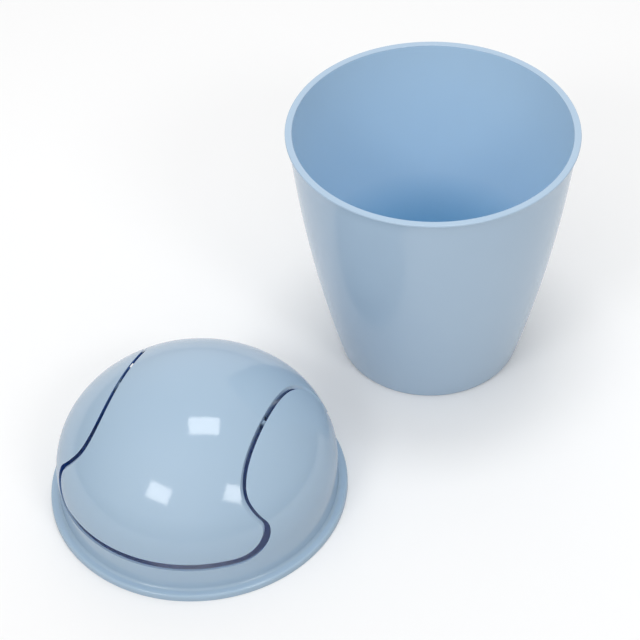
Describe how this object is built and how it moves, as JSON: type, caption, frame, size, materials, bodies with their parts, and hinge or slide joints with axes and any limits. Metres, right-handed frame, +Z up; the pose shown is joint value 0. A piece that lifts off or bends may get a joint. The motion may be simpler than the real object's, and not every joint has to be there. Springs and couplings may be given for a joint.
{
  "type": "swing-lid trash can",
  "caption": "Tapered round desk bin in light blue plastic, its domed lid standing off beside it; a saddle-shaped flap swings on stub pins between the lid's side ears.",
  "frame": {"origin": "centre of the bucket's flat base, on the surface that it stands on", "axes": "+Z up along the bucket's axis; +X along the flap's hinge axis; the lid's front faces -Y"},
  "size_m": [0.212, 0.2771, 0.1348],
  "materials": {
    "bucket_plastic": "satin moulded light blue",
    "lid_plastic": "glossy moulded light blue"
  },
  "bodies": {
    "bucket": {"bucket": "bucket_plastic"},
    "lid": {"lid_frame": "lid_plastic"},
    "flap": {"swing_flap": "lid_plastic"}
  },
  "joints": [
    {"name": "lid_lift", "type": "slide", "parent": "bucket", "child": "lid", "axis": [0, 0, 1], "range_m": [0, 0.15]},
    {"name": "flap_swing", "type": "hinge", "parent": "lid", "child": "flap", "pos_m": [-0.07065, -0.13571, 0.05545], "axis": [1, 0, 0], "range_deg": [-70, 70]}
  ]
}
